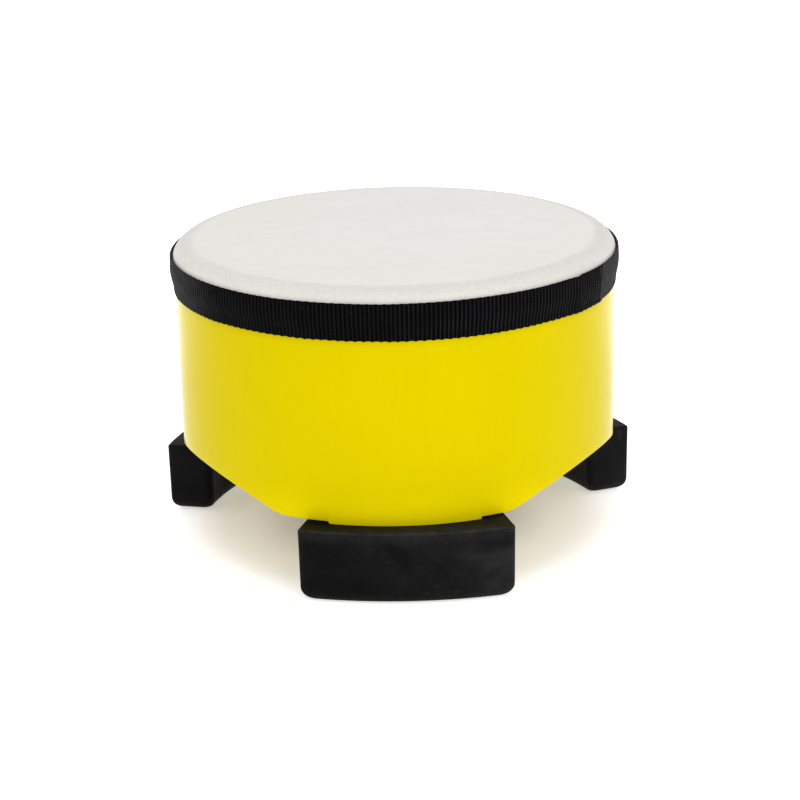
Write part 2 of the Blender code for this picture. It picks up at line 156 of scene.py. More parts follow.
def rim_arc(radius, degrees):
    a = np.radians(np.asarray(degrees, float))
    return BEARING_R + radius * np.sin(a), HEAD_TOP - RIM_ROUND + radius * np.cos(a)


def wood_angle(radius):
    return math.degrees(math.asin((radius - BEARING_R) / WOOD_ROUND))


# ---------------------------------------------------------------- material helpers
class Nodes:
    """A short way to write a material's node tree."""

    def __init__(self, name):
        self.mat = bpy.data.materials.new(name)
        self.mat.use_nodes = True
        self.tree = self.mat.node_tree
        self.shader = self.tree.nodes["Principled BSDF"]
        self.coords = self.tree.nodes.new("ShaderNodeTexCoord")

    def node(self, kind, **values):
        made = self.tree.nodes.new(kind)
        for key, value in values.items():
            setattr(made, key, value)
        return made

    def put(self, socket, value):
        if hasattr(value, "is_output") or isinstance(value, bpy.types.NodeSocket):
            self.tree.links.new(value, socket)
        else:
            socket.default_value = value

    def set(self, **values):
        for key, value in values.items():
            self.put(self.shader.inputs[key.replace("_", " ")], value)

    def object(self):
        return self.coords.outputs["Object"]

    def uv(self):
        made = self.node("ShaderNodeUVMap", uv_map="unrolled")
        return made.outputs["UV"]

    def mapping(self, vector, scale=(1, 1, 1), location=(0, 0, 0), rotation=(0, 0, 0)):
        made = self.node("ShaderNodeMapping")
        self.put(made.inputs["Vector"], vector)
        made.inputs["Scale"].default_value = scale
        made.inputs["Location"].default_value = location
        made.inputs["Rotation"].default_value = rotation
        return made.outputs["Vector"]

    def noise(self, vector, scale, detail=3.0, roughness=0.55, distortion=0.0):
        made = self.node("ShaderNodeTexNoise")
        self.put(made.inputs["Vector"], vector)
        made.inputs["Scale"].default_value = scale
        made.inputs["Detail"].default_value = detail
        made.inputs["Roughness"].default_value = roughness
        made.inputs["Distortion"].default_value = distortion
        return made.outputs["Fac"]

    def voronoi(self, vector, scale, feature="F1", randomness=1.0):
        made = self.node("ShaderNodeTexVoronoi", feature=feature)
        self.put(made.inputs["Vector"], vector)
        made.inputs["Scale"].default_value = scale
        made.inputs["Randomness"].default_value = randomness
        return made.outputs["Distance"]

    def math(self, operation, a, b=0.0, clamp=False):
        made = self.node("ShaderNodeMath", operation=operation, use_clamp=clamp)
        self.put(made.inputs[0], a)
        self.put(made.inputs[1], b)
        return made.outputs[0]

    def range(self, value, low, high, to_low=0.0, to_high=1.0, smooth=True):
        made = self.node("ShaderNodeMapRange")
        made.interpolation_type = "SMOOTHSTEP" if smooth else "LINEAR"
        self.put(made.inputs["Value"], value)
        made.inputs["From Min"].default_value = low
        made.inputs["From Max"].default_value = high
        made.inputs["To Min"].default_value = to_low
        made.inputs["To Max"].default_value = to_high
        return made.outputs["Result"]

    def mix(self, factor, a, b, blend="MIX"):
        made = self.node("ShaderNodeMix", data_type="RGBA", blend_type=blend)
        self.put(made.inputs[0], factor)
        for socket, value in ((made.inputs[6], a), (made.inputs[7], b)):
            if isinstance(value, tuple):
                value = (*value, 1.0)
            self.put(socket, value)
        return made.outputs[2]

    def separate(self, vector):
        made = self.node("ShaderNodeSeparateXYZ")
        self.put(made.inputs[0], vector)
        return made.outputs

    def bump(self, height, distance, strength=1.0, normal=None):
        made = self.node("ShaderNodeBump")
        made.inputs["Strength"].default_value = strength
        made.inputs["Distance"].default_value = distance
        self.put(made.inputs["Height"], height)
        if normal is not None:
            self.put(made.inputs["Normal"], normal)
        return made.outputs["Normal"]


# ---------------------------------------------------------------- materials
def lacquer():
    n = Nodes("lacquer_yellow")
    here = n.object()
    broad = n.range(n.noise(here, 14.0, 2.0), 0.3, 0.7)
    fine = n.range(n.noise(n.mapping(here, scale=(1, 1, 0.25)), 260.0, 4.0), 0.3, 0.7)
    colour = n.mix(broad, (0.620, 0.498, 0.0001), (0.640, 0.514, 0.0001))
    colour = n.mix(n.math("MULTIPLY", fine, 0.35), colour, (0.610, 0.488, 0.0002))
    # painted shade: darker just below the webbing's lower edge, where the band shades the shell
    z = n.separate(here)[2]
    painted_shade_under_band = n.range(z, BAND_BOTTOM - 0.0050, BAND_BOTTOM + 0.0010, 0.0, 0.30)
    colour = n.mix(painted_shade_under_band, colour, (0.440, 0.345, 0.0005))
    # paler along the lower edge over the front foot, as the photograph is lighter there
    middle = n.range(n.math("ABSOLUTE", n.separate(here)[0]), 0.090, 0.060, 0.15, 1.0)
    # painted light: this lifts the shade from the foot and the darker floor below the lower edge
    painted_light_over_foot = n.math("MULTIPLY", n.range(z, 0.0627, 0.0447), middle)
    colour = n.mix(painted_light_over_foot, colour, (0.720, 0.582, 0.0002))
    rough = n.range(n.noise(here, 90.0, 3.0), 0.3, 0.7, 0.15, 0.22)
    peel = n.noise(here, 520.0, 2.0)
    wave = n.noise(here, 38.0, 1.0)
    normal = n.bump(peel, 0.00003, 0.5, n.bump(wave, 0.0002, 0.35))
    n.set(Base_Color=colour, Roughness=rough, Normal=normal)
    n.set(IOR=1.125)
    n.shader.inputs["Specular Tint"].default_value = (1.0, 0.86, 0.0, 1.0)
    return n.mat


def plywood(name, pale, dark, layered):
    """Bare birch ply: long grain round the drum, and the plies' lines where a cut shows them."""
    n = Nodes(name)
    here = n.object()
    x, y, z = n.separate(here)
    if layered:
        square = n.math("ADD", n.math("MULTIPLY", x, x), n.math("POWER", n.math("SUBTRACT", y, AXIS_Y), 2.0))
        radius = n.math("SQRT", square)
        ply = n.math("MULTIPLY", n.math("SUBTRACT", radius, SHELL_R - SHELL_WALL), 5 * math.pi / SHELL_WALL)
        stripe = n.range(n.math("SINE", ply), -0.25, 0.25)
        grain = n.noise(here, 900.0, 3.0)
        colour = n.mix(stripe, pale, dark)
        colour = n.mix(n.math("MULTIPLY", grain, 0.5), colour, tuple(0.7 * c for c in dark))
        normal = n.bump(grain, 0.00015, 0.5)
    else:
        uv = n.uv()
        stretched = n.mapping(uv, scale=(14.0, 420.0, 1.0))
        grain = n.noise(stretched, 1.0, 5.0, 0.6, 0.6)
        bands = n.noise(n.mapping(uv, scale=(3.0, 45.0, 1.0)), 1.0, 2.0, 0.5, 1.2)
        pores = n.range(n.noise(n.mapping(uv, scale=(90.0, 2400.0, 1.0)), 1.0, 2.0), 0.60, 0.72)
        colour = n.mix(n.range(bands, 0.3, 0.7), pale, dark)
        colour = n.mix(n.range(grain, 0.35, 0.7, 0.0, 0.55), colour, tuple(0.72 * c for c in dark))
        colour = n.mix(n.math("MULTIPLY", pores, 0.5), colour, tuple(0.5 * c for c in dark))
        normal = n.bump(n.math("SUBTRACT", grain, pores), 0.00012, 0.6)
    n.set(Base_Color=colour, Roughness=n.range(n.noise(here, 60.0), 0.3, 0.7, 0.55, 0.72), Normal=normal)
    return n.mat


def hide_material():
    """Natural hide: cool and smooth in the middle, warmer towards the rim, with a granular sloping ring outside the bearing edge."""
    n = Nodes("hide_natural")
    here = n.object()
    x, y, z = n.separate(here)
    square = n.math("ADD", n.math("MULTIPLY", x, x), n.math("POWER", n.math("SUBTRACT", y, AXIS_Y), 2.0))
    radius = n.math("SQRT", square)
    cloud = n.noise(n.mapping(here, scale=(1.0, 1.6, 1.0)), 11.0, 4.0, 0.6, 0.8)
    broad = n.noise(n.mapping(here, scale=(0.8, 1.3, 1.0), location=(0.4, 0.7, 0)), 16.0, 2.0, 0.5, 0.4)
    streak = n.noise(n.mapping(here, scale=(1.0, 2.4, 1.0), rotation=(0, 0, 0.10)), 48.0, 5.0, 0.65, 0.9)
    vein = n.noise(n.mapping(here, scale=(1.0, 2.0, 1.0), location=(0.3, 0.1, 0)), 45.0, 6.0, 0.7, 2.5)
    pore = n.voronoi(here, 1500.0)
    mottle = n.noise(here, 480.0, 4.0, 0.65)
    # a cooler, cleaner area behind the middle
    a = n.math("POWER", n.math("DIVIDE", n.math("SUBTRACT", x, 0.020), 0.070), 2.0)
    b = n.math("POWER", n.math("DIVIDE", n.math("SUBTRACT", y, 0.045), 0.095), 2.0)
    away = n.math("ADD", n.math("SQRT", n.math("ADD", a, b)), n.math("MULTIPLY", cloud, 0.9))
    cool = n.range(away, 1.05, 1.65, 1.0, 0.0)
    colour = n.mix(cool, (0.785, 0.764, 0.726), (0.781, 0.774, 0.758))
    colour = n.mix(n.range(broad, 0.50, 0.70, 0.0, 0.30), colour, (0.755, 0.728, 0.678))
    colour = n.mix(n.range(streak, 0.48, 0.72, 0.0, 0.32), colour, (0.730, 0.700, 0.645))
    colour = n.mix(n.range(vein, 0.62, 0.78, 0.0, 0.30), colour, (0.690, 0.652, 0.590))
    colour = n.mix(n.range(vein, 0.36, 0.24, 0.0, 0.30), colour, (0.830, 0.820, 0.805))
    # the sloping ring outside the bearing edge is greyer and granular
    rim = n.range(radius, BEARING_R - 0.0030, BEARING_R + 0.0050)
    faded = n.range(n.math("ADD", x, n.math("MULTIPLY", cloud, 0.03)), -0.100, 0.010, 0.42, 0.74)
    colour = n.mix(n.math("MULTIPLY", rim, faded), colour, (0.640, 0.614, 0.583))
    grains = n.range(mottle, 0.44, 0.62)
    colour = n.mix(n.math("MULTIPLY", n.math("MULTIPLY", rim, grains), 0.30), colour, (0.560, 0.530, 0.490))
    pale = n.range(mottle, 0.42, 0.30)
    colour = n.mix(n.math("MULTIPLY", n.math("MULTIPLY", rim, pale), 0.28), colour, (0.830, 0.815, 0.790))
    # painted shade: a faint, broken darker line along the bearing edge, where the flat head turns down
    off = n.math("ABSOLUTE", n.math("SUBTRACT", radius, BEARING_R + 0.0002))
    line = n.range(off, 0.0030, 0.0)
    broken = n.range(n.noise(here, 60.0, 3.0), 0.30, 0.65)
    colour = n.mix(n.math("MULTIPLY", n.math("MULTIPLY", line, broken), 0.22), colour, (0.560, 0.520, 0.450))
    grain = n.noise(here, 420.0, 6.0, 0.7)
    height = n.math("ADD", n.math("MULTIPLY", grain, 1.0), n.math("MULTIPLY", pore, 0.5))
    height = n.math("ADD", height, n.math("MULTIPLY", n.math("MULTIPLY", mottle, rim), 1.6))
    normal = n.bump(height, 0.00014, 0.45, n.bump(streak, 0.0004, 0.25))
    rough = n.range(n.noise(here, 70.0), 0.3, 0.7, 0.50, 0.66)
    n.set(Base_Color=colour, Roughness=rough, Normal=normal)
    n.shader.inputs["Specular IOR Level"].default_value = 0.3
    return n.mat


def webbing_material():
    """Black nylon: ribs across the band, each crossed by fine yarns, with a painted highlight along each rib's crest
    and painted shade in the valleys between the ribs.
    """
    n = Nodes("webbing_black")
    uv = n.uv()
    here = n.object()
    u, v, w = n.separate(uv)
    x, y, z = n.separate(here)
    rib = n.math("COSINE", n.math("ADD", n.math("MULTIPLY", u, 2 * math.pi / RIB), math.pi))
    crest = n.range(rib, 0.60, 1.0)
    flank = n.range(rib, -0.5, 0.9)
    # neighbouring ribs carry their yarns half a pitch apart
    odd = n.math("MULTIPLY", n.math("FLOOR", n.math("DIVIDE", u, RIB)), math.pi)
    yarn = n.math("SINE", n.math("ADD", n.math("MULTIPLY", v, 2 * math.pi / YARN), odd))
    twist = n.math("SINE", n.math("ADD", n.math("MULTIPLY", v, 2 * math.pi / (YARN / 2.5)), n.math("MULTIPLY", u, 2 * math.pi / 0.0009)))
    fuzz = n.noise(here, 1600.0, 4.0)
    patch = n.noise(n.mapping(uv, scale=(60.0, 90.0, 1.0)), 1.0, 3.0, 0.6)
    dash = n.range(yarn, -0.7, 0.7, 0.10, 1.0)
    # painted highlight along the ribs' crests, broken where the yarns cross them
    painted_crest_highlight = n.math("MULTIPLY", n.math("MULTIPLY", crest, dash), n.range(patch, 0.25, 0.70, 0.35, 1.0))
    # the crests' painted highlight is stronger towards the right, as light from that side
    painted_crest_light_right = n.range(n.math("ADD", x, n.math("MULTIPLY", patch, 0.03)), 0.000, 0.060, 0.45, 1.0)
    painted_crest_highlight = n.math("MULTIPLY", painted_crest_highlight, painted_crest_light_right)
    # painted shade: the valleys between the ribs are darker than their flanks
    colour = n.mix(flank, (0.0007, 0.0007, 0.0008), (0.0022, 0.0021, 0.0024))
    colour = n.mix(painted_crest_highlight, colour, (0.032, 0.031, 0.034))
    colour = n.mix(n.range(fuzz, 0.58, 0.80, 0.0, 0.30), colour, (0.009, 0.009, 0.009))
    dust = n.range(n.noise(here, 35.0, 5.0, 0.7), 0.55, 0.75, 0.0, 0.08)
    colour = n.mix(dust, colour, (0.030, 0.029, 0.029))
    # the layer that comes out from under the strip's end is greyer in the photograph
    turn = math.radians(BAND_END)
    along = n.math("SUBTRACT", n.math("MULTIPLY", n.math("SUBTRACT", y, AXIS_Y), math.cos(turn)), n.math("MULTIPLY", x, math.sin(turn)))
    # this grey is partly the layer's own colour and partly painted sheen near the band's side
    under = n.math("MULTIPLY", n.range(along, -0.0004, 0.0004), n.range(along, 0.030, 0.085, 1.0, 0.35))
    under = n.math("MULTIPLY", under, n.range(x, 0.0, 0.050))
    # painted sheen: the band's left end is painted greyer where it turns towards the side
    painted_sheen = n.range(n.math("ADD", x, n.math("MULTIPLY", patch, 0.004)), -0.096, -0.130, 0.0, 1.0)
    grey_breakup = n.range(n.noise(here, 850.0, 4.0, 0.7), 0.30, 0.70, 0.45, 0.95)
    colour = n.mix(n.math("MULTIPLY", n.math("MAXIMUM", under, painted_sheen), grey_breakup), colour, (0.038, 0.037, 0.040))
    lint = n.range(n.voronoi(here, 330.0), 0.055, 0.02)
    colour = n.mix(n.math("MULTIPLY", lint, 0.8), colour, (0.20, 0.20, 0.19))
    height = n.math("ADD", n.math("MULTIPLY", yarn, 0.5), n.math("MULTIPLY", twist, 0.25))
    normal = n.bump(n.math("ADD", height, n.math("MULTIPLY", fuzz, 0.5)), 0.00008, 0.6)
    n.set(Base_Color=colour, Roughness=n.range(fuzz, 0.3, 0.7, 0.40, 0.56), Normal=normal)
    n.shader.inputs["Specular IOR Level"].default_value = 0.02
    n.shader.inputs["Sheen Weight"].default_value = 0.10
    n.shader.inputs["Sheen Roughness"].default_value = 0.20
    return n.mat


def rubber_material():
    """Moulded black rubber with a film of dust, greyer dust patches painted stronger on the right as light from that
    side, specks, fine scratches and painted highlights on the arrises.
    """
    n = Nodes("rubber_black")
    here = n.object()
    arris = n.node("ShaderNodeAttribute", attribute_name="arris").outputs["Fac"]
    cloud = n.noise(here, 32.0, 5.0, 0.65, 0.6)
    patch = n.noise(n.mapping(here, location=(0.21, 0.43, 0.11)), 17.0, 3.0, 0.55, 0.5)
    small = n.noise(here, 210.0, 4.0, 0.7)
    speck = n.voronoi(here, 190.0)
    scratch = n.noise(n.mapping(here, scale=(1.0, 1.0, 9.0), rotation=(0.0, 0.55, 0.2)), 130.0, 3.0, 0.6, 0.4)
    colour = n.mix(n.range(cloud, 0.36, 0.64), (0.0004, 0.0004, 0.0005), (0.0034, 0.0032, 0.0037))
    # the greyer dust patches are painted stronger on the right, as light from that side
    x = n.separate(here)[0]
    painted_light_right = n.range(n.math("ADD", x, n.math("MULTIPLY", cloud, 0.05)), -0.005, 0.065, 0.08, 1.0)
    colour = n.mix(n.math("MULTIPLY", n.range(patch, 0.46, 0.66, 0.15, 0.75), painted_light_right), colour, (0.0200, 0.0190, 0.0202))
    colour = n.mix(n.math("MULTIPLY", n.range(small, 0.54, 0.72, 0.0, 0.55), painted_light_right), colour, (0.021, 0.020, 0.020))
    dusty = n.math("MULTIPLY", n.range(speck, 0.10, 0.04), n.range(cloud, 0.45, 0.62))
    colour = n.mix(n.math("MULTIPLY", dusty, 0.5), colour, (0.055, 0.054, 0.052))
    colour = n.mix(n.range(scratch, 0.66, 0.74, 0.0, 0.45), colour, (0.034, 0.033, 0.033))
    # painted highlight along the top's outer arris and the upright corners
    painted_sheen = n.math("MULTIPLY", arris, n.range(small, 0.32, 0.62, 0.45, 1.0))
    colour = n.mix(n.math("MULTIPLY", painted_sheen, 0.85), colour, (0.040, 0.039, 0.040))
    rough = n.range(cloud, 0.3, 0.7, 0.50, 0.68)
    height = n.math("ADD", small, n.math("MULTIPLY", n.noise(here, 900.0, 3.0), 0.6))
    normal = n.bump(height, 0.00012, 0.5)
    n.set(Base_Color=colour, Roughness=rough, Normal=normal)
    n.shader.inputs["Specular IOR Level"].default_value = 0.06
    return n.mat


def metal_material(name, tint, rough_low, rough_high):
    n = Nodes(name)
    here = n.object()
    spangle = n.voronoi(here, 900.0)
    fine = n.noise(here, 2200.0, 3.0)
    dull = tuple(0.72 * c for c in tint)
    colour = n.mix(n.range(spangle, 0.2, 0.7, 0.0, 0.6), tint, dull)
    n.set(
        Base_Color=colour,
        Roughness=n.range(fine, 0.3, 0.7, rough_low, rough_high),
        Normal=n.bump(fine, 0.00002, 0.4),
    )
    n.shader.inputs["Metallic"].default_value = 1.0
    return n.mat


# ---------------------------------------------------------------- shell
def fillet(points, radii, step=0.0004):
    """A polyline with its corners rounded to the given radii."""
    out = [points[0]]
    for before, here, after, radius in zip(points, points[1:], points[2:], radii[1:-1]):
        a, b, c = (np.array(p, float) for p in (before, here, after))
        one, two = (a - b) / np.linalg.norm(a - b), (c - b) / np.linalg.norm(c - b)
        half = math.acos(max(-1.0, min(1.0, float(one @ two)))) / 2
        if radius <= 0 or half > math.radians(89.5):
            out.append(tuple(b))
            continue
        reach = min(radius / math.tan(half), 0.45 * np.linalg.norm(a - b), 0.45 * np.linalg.norm(c - b))
        start, end = b + one * reach, b + two * reach
        n = max(3, int(reach * 2 / step))
        for k in range(n + 1):
            s = k / n
            out.append(tuple((1 - s) ** 2 * start + 2 * s * (1 - s) * b + s**2 * end))
    out.append(points[-1])
    return out


def bottom_line():
    """The shell's lower edge, unrolled: (azimuth in radians, height), once round, with rounded corners."""
    line, radii = [], []
    r = SHELL_R
    for foot, before, after in (("foot_front", "left", "right"), ("foot_right", "right", "back"), ("foot_left", "back", "left")):
        foot = FEET[foot]
        last = (ARCHES[before][1] - foot + 180.0) % 360.0 - 180.0
        for deg, z, radius in (
            (last, SHOULDER_Z, 0.030),
            (-TAB_HALF - 0.15, SHOULDER_Z, 0.0008),
            (-TAB_HALF + 1.1, TAB_BOTTOM, 0.0025),
            (TAB_HALF - 1.1, TAB_BOTTOM, 0.0025),
            (TAB_HALF + 0.15, SHOULDER_Z, 0.0008),
            (ARCHES[after][0] - foot, SHOULDER_Z, 0.030),
        ):
            line.append((math.radians(foot + deg) * r, z))
            radii.append(radius)
        start, end = ARCHES[after]
        middle, half = (start + end) / 2, (end - start) / 2
        for d in np.arange(-math.floor(half / 1.5) * 1.5, half, 1.5):
            if abs(d) < half - 5.5:
                z = SHOULDER_Z + ARCH_RISE * (math.cos(math.radians(d)) - math.cos(math.radians(half)))
                line.append((math.radians(middle + d) * r, z))
                radii.append(0.0)
    first = (line[0][0] + 2 * math.pi * r, line[0][1])
    before = (line[-1][0] - 2 * math.pi * r, line[-1][1])
    line, radii = [before, *line, first], [0.0, *radii, 0.0]
    smooth = fillet(line, radii)[1:-1]
    # long straight stretches are divided, so that the wall stays round
    out = []
    for a, b in zip(smooth, smooth[1:] + [(smooth[0][0] + 2 * math.pi * r, smooth[0][1])]):
        out.append(a)
        parts = int(math.hypot(b[0] - a[0], b[1] - a[1]) / 0.0024)
        for k in range(1, parts + 1):
            s = k / (parts + 1)
            out.append((a[0] + (b[0] - a[0]) * s, a[1] + (b[1] - a[1]) * s))
    return np.array(out)


def shell_piece(materials):
    line = bottom_line()
    n = len(line)
    s, z = line[:, 0], line[:, 1]
    total = 2 * math.pi * SHELL_R
    ahead = np.roll(line, -1, 0)
    behind = np.roll(line, 1, 0)
    ahead[-1, 0] += total
    behind[0, 0] -= total
    along = ahead - behind
    along /= np.linalg.norm(along, axis=1)[:, None]
    inward = np.stack([-along[:, 1], along[:, 0]], 1)  # into the wood
    edge = 0.0006
    inner = SHELL_R - SHELL_WALL
    rows, kinds = [], []

    def row(radius, offset_s, height, kind):
        rows.append((np.full(n, radius) if np.isscalar(radius) else radius, offset_s, height))
        kinds.append(kind)

    top_r, top_z = rim_arc(WOOD_ROUND, [wood_angle(SHELL_R)])
    top_z = float(top_z[0])
    in_s, in_z = s + inward[:, 0] * edge, z + inward[:, 1] * edge
    # outer wall, from the top down
    for t in np.linspace(0, 1, 13)[:-1]:
        t = t**0.8
        row(SHELL_R, s + (in_s - s) * t, top_z + (in_z - top_z) * t, 0)
    # rounded outer arris, cut edge, rounded inner arris
    for t in np.radians([0, 22.5, 45, 67.5, 90]):
        inset = edge * (1 - math.sin(t))
        row(SHELL_R - edge * (1 - math.cos(t)), s + inward[:, 0] * inset, z + inward[:, 1] * inset, 0 if t < 1.3 else 1)
    for k in (0.25, 0.5, 0.75):
        row(SHELL_R - edge - (SHELL_WALL - 2 * edge) * k, s, z, 1)
    for t in np.radians([90, 60, 30, 0]):
        inset = edge * (1 - math.sin(t))
        row(inner + edge * (1 - math.cos(t)), s + inward[:, 0] * inset, z + inward[:, 1] * inset, 1 if t > 1.2 else 2)
    # inner wall, from the edge up
    end_r, end_z = rim_arc(WOOD_ROUND, [wood_angle(inner)])
    end_z = float(end_z[0])
    for t in np.linspace(0, 1, 9)[1:]:
        row(inner, in_s + (s - in_s) * t, in_z + (end_z - in_z) * t, 2)
    for a in (30.0, 42.0, 54.0, 66.0):
        r, h = rim_arc(WOOD_ROUND, [a])
        row(float(r[0]), s, np.full(n, float(h[0])), 2)
    m = len(rows)
    points = np.zeros((n, m, 3))
    uvs = np.zeros((n, m, 2))
    for j, (radius, at, height) in enumerate(rows):
        points[:, j] = polar(radius, at / SHELL_R, height)
        uvs[:, j] = np.stack([at, height], 1)
    faces = grid_faces(n, m, wrap_u=True, wrap_v=True)
    slots = [kinds[(k % m)] if kinds[k % m] == kinds[(k % m + 1) % m] else max(kinds[k % m], kinds[(k % m + 1) % m]) for k in range(n * m)]
    slots = [0 if (k % m) < 15 else slots[k] for k in range(n * m)]
    mesh = mesh_from("shell_finish", points.reshape(-1, 3), [f[::-1] for f in faces], uvs.reshape(-1, 2), slots, 40)
    for material in materials:
        mesh.materials.append(material)
    return new_object("shell_finish", mesh, ["shell"])


# ---------------------------------------------------------------- turned pieces
def turned_piece(name, radii, heights, steps, replaced, material, wobble=None, capped=False, sharp=35):
    """A closed profile turned about the axis; capped closes the first and last ring with a middle point."""
    radii, heights = np.asarray(radii, float), np.asarray(heights, float)
    az = np.arange(steps) * 2 * math.pi / steps
    r = np.broadcast_to(radii, (steps, len(radii)))
    z = np.broadcast_to(heights, (steps, len(heights))).copy()
    a = np.broadcast_to(az[:, None], r.shape)
    if wobble is not None:
        z = z + wobble(r, a)
    points = polar(r, a, z).reshape(-1, 3)
    m = len(radii)
    lengths = np.concatenate([[0], np.cumsum(np.hypot(np.diff(radii), np.diff(heights)))])
    uvs = np.stack(np.broadcast_arrays(a * SHELL_R, lengths[None, :]), -1).reshape(-1, 2)
    faces = [f[::-1] for f in grid_faces(steps, m, wrap_u=True, wrap_v=not capped)]
    if capped:
        extra = []
        for j, flip in ((0, False), (m - 1, True)):
            ring = [i * m + j for i in range(steps)]
            tip = len(points) + len(extra)
            extra.append([0.0, AXIS_Y, float(z[:, j].mean())])
            for i in range(steps):
                tri = (ring[i], ring[(i + 1) % steps], tip)
                faces.append(tri[::-1] if flip else tri)
        points = np.concatenate([points, extra])
        uvs = np.concatenate([uvs, [[0, lengths[0]], [0, lengths[-1]]]])
    mesh = mesh_from(name, points, faces, uvs, None, sharp)
    mesh.materials.append(material)
    return new_object(name, mesh, replaced)


def hoop_piece(material):
    outer = SHELL_R - SHELL_WALL - GAP
    top = HEAD_TOP - HIDE - GAP
    r, z = [HOOP_INNER_R + 0.0006], [HOOP_BOTTOM]
    r += [outer - 0.0006, outer]
    z += [HOOP_BOTTOM, HOOP_BOTTOM + 0.0006]
    for a in np.linspace(wood_angle(outer), 0.0, 5):
        q = rim_arc(WOOD_ROUND, [a])
        r.append(float(q[0][0]))
        z.append(float(q[1][0]))
    for t in np.radians([0, 30, 60, 90]):
        r.append(HOOP_INNER_R + 0.001 * (1 - math.sin(t)))
        z.append(top - 0.001 * (1 - math.cos(t)))
    for k in (0.25, 0.5, 0.75):
        r.append(HOOP_INNER_R)
        z.append(top - 0.001 + (HOOP_BOTTOM + 0.0016 - top) * k)
    r.append(HOOP_INNER_R)
    z.append(HOOP_BOTTOM + 0.0006)
    return turned_piece("bearing_hoop_finish", r[::-1], z[::-1], 360, ["bearing_hoop"], material)


def head_piece(material):
    top_r = [0.0015, *np.linspace(0.004, BEARING_R - 0.0015, 58)]
    top_z = [HEAD_TOP] * len(top_r)
    arc_r, arc_z = rim_arc(RIM_ROUND, np.linspace(0, RIM_END, 19))
    outer = SHELL_R + GAP + HIDE
    wall_z = np.linspace(arc_z[-1], SKIRT_BOTTOM, 8)[1:]
    r = [*top_r, *arc_r, *[outer] * len(wall_z)]
    z = [*top_z, *arc_z, *wall_z]
    under_z = np.linspace(SKIRT_BOTTOM, arc_z[-1], 5)
    r += [SHELL_R + GAP] * 5
    z += list(under_z)
    arc_r, arc_z = rim_arc(RIM_ROUND - HIDE, np.linspace(RIM_END, 0, 19))
    r += [*arc_r, *np.linspace(BEARING_R - 0.0015, 0.004, 40), 0.0015]
    z += [*arc_z, *[HEAD_TOP - HIDE] * 41]

    def wobble(radius, az):
        x, y = radius * np.cos(az), radius * np.sin(az)
        inside = np.clip((BEARING_R - 0.004 - radius) / 0.03, 0, 1)
        broad = smooth_noise(x / 0.045 + 40, y / 0.030 + 40, 5)
        small = smooth_noise(x / 0.013 + 90, y / 0.009 + 90, 6)
        flat = inside * (0.00010 * broad + 0.000025 * small)
        rim = np.clip((radius - BEARING_R + 0.004) / 0.006, 0, 1)
        pucker = rim * 0.00006 * smooth_noise(az * SHELL_R / 0.006 + 9, radius / 0.004, 7)
        return flat + pucker

    return turned_piece("drumhead_finish", r, z, 288, ["drumhead"], material, wobble, capped=True, sharp=60)


# ---------------------------------------------------------------- webbing
RIB = 0.00236  # the ribs' pitch along the band
YARN = 0.00096  # the pitch of the yarns that cross each rib
SAMPLES = 5  # columns for each rib


def band_profile(t):
    """Inner face of the webbing by share of its width, bottom to top: (radius, height). It lies on the shell below and over the hide's skirt and the staples above."""
    z = BAND_BOTTOM + (BAND_TOP - BAND_BOTTOM) * t
    low, high = SHELL_R + GAP, BAND_OVER_R
    rise = np.clip((z - (BAND_BOTTOM + 0.0015)) / 0.0115, 0, 1)
    rise = rise * rise * (3 - 2 * rise)
    lean = np.clip((z - 0.1612) / 0.006, 0, 1)
    return low + (high - low) * rise - 0.0002 * lean, z


